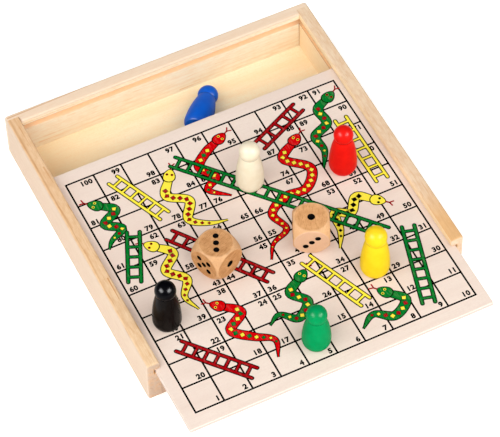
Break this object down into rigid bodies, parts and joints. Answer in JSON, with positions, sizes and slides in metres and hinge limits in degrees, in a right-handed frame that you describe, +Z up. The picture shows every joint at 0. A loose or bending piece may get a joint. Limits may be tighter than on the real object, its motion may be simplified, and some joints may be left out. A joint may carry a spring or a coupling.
{
  "type": "snakes and ladders set",
  "caption": "Shallow wooden box whose sliding lid is a printed snakes and ladders board, with turned wooden pawns and dice that are kept inside.",
  "frame": {"origin": "centre of the box's underside", "axes": "+Z up, +X to the right along the low front wall, +Y towards the back wall; the board slides out towards -Y"},
  "size_m": [0.15, 0.1833, 0.0481],
  "materials": {
    "box_wood": "bare sanded softwood, matt",
    "panel_ply": "bare thin plywood, matt",
    "board_ply": "pale plywood, printed, matt",
    "black_paint": "glossy black paint on turned wood",
    "green_paint": "glossy green paint on turned wood",
    "yellow_paint": "glossy yellow paint on turned wood",
    "red_paint": "glossy red paint on turned wood",
    "clear_varnish": "glossy clear varnish on pale turned wood",
    "blue_paint": "glossy blue paint on turned wood",
    "dice_wood": "varnished beech with black pips"
  },
  "bodies": {
    "box": {"left_wall": "box_wood", "right_wall": "box_wood", "back_wall": "box_wood", "front_wall": "box_wood", "bottom_panel": "panel_ply"},
    "board": {"board_lid": "board_ply"},
    "black_pawn": {"black_pawn": "black_paint"},
    "green_pawn": {"green_pawn": "green_paint"},
    "yellow_pawn": {"yellow_pawn": "yellow_paint"},
    "red_pawn": {"red_pawn": "red_paint"},
    "natural_pawn": {"natural_pawn": "clear_varnish"},
    "blue_pawn": {"blue_pawn": "blue_paint"},
    "left_die": {"left_die": "dice_wood"},
    "right_die": {"right_die": "dice_wood"}
  },
  "joints": [
    {"name": "board_slide", "type": "slide", "parent": "box", "child": "board", "axis": [0, -1, 0], "range_m": [-0.0343, 0.116]},
    {"name": "black_pawn_lift", "type": "slide", "parent": "board", "child": "black_pawn", "axis": [0, 0, 1], "range_m": [0, 0.04]},
    {"name": "green_pawn_lift", "type": "slide", "parent": "board", "child": "green_pawn", "axis": [0, 0, 1], "range_m": [0, 0.04]},
    {"name": "yellow_pawn_lift", "type": "slide", "parent": "board", "child": "yellow_pawn", "axis": [0, 0, 1], "range_m": [0, 0.04]},
    {"name": "red_pawn_lift", "type": "slide", "parent": "board", "child": "red_pawn", "axis": [0, 0, 1], "range_m": [0, 0.04]},
    {"name": "natural_pawn_lift", "type": "slide", "parent": "board", "child": "natural_pawn", "axis": [0, 0, 1], "range_m": [0, 0.04]},
    {"name": "left_die_lift", "type": "slide", "parent": "board", "child": "left_die", "axis": [0, 0, 1], "range_m": [0, 0.04]},
    {"name": "right_die_lift", "type": "slide", "parent": "board", "child": "right_die", "axis": [0, 0, 1], "range_m": [0, 0.04]},
    {"name": "blue_pawn_lift", "type": "slide", "parent": "box", "child": "blue_pawn", "axis": [0, 0, 1], "range_m": [0, 0.04]}
  ]
}
